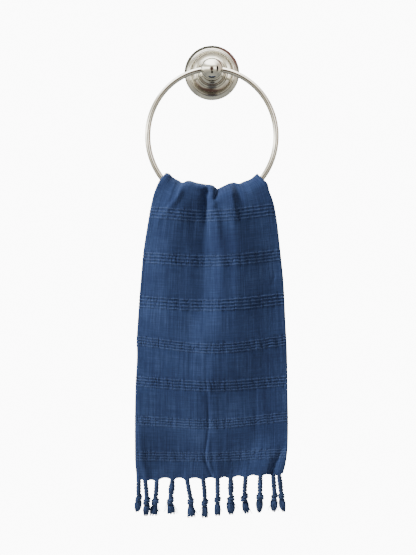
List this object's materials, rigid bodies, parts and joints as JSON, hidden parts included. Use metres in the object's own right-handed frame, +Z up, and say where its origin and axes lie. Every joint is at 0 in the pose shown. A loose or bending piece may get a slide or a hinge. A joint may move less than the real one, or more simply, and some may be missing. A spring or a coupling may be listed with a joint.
{
  "type": "hand towel on towel ring",
  "caption": "Woven cotton hand towel with raised rib bands and knotted fringes, folded lengthwise and hung over a wall towel ring.",
  "frame": {"origin": "centre of the rosette's back face, on the wall", "axes": "+Z up, +Y into the wall, the towel hangs in front of the wall towards -Y and its front faces -Y"},
  "size_m": [0.1953, 0.0837, 0.6045],
  "materials": {
    "metal": "polished nickel plate",
    "cloth": "stone-washed cotton gauze with raised weft ribs",
    "yarn": "twisted and knotted cotton yarn"
  },
  "bodies": {
    "root": {"wall_rosette": "metal", "ball_post": "metal", "towel_ring": "metal", "towel": "cloth", "front_fringe": "yarn", "back_fringe": "yarn"}
  },
  "joints": []
}
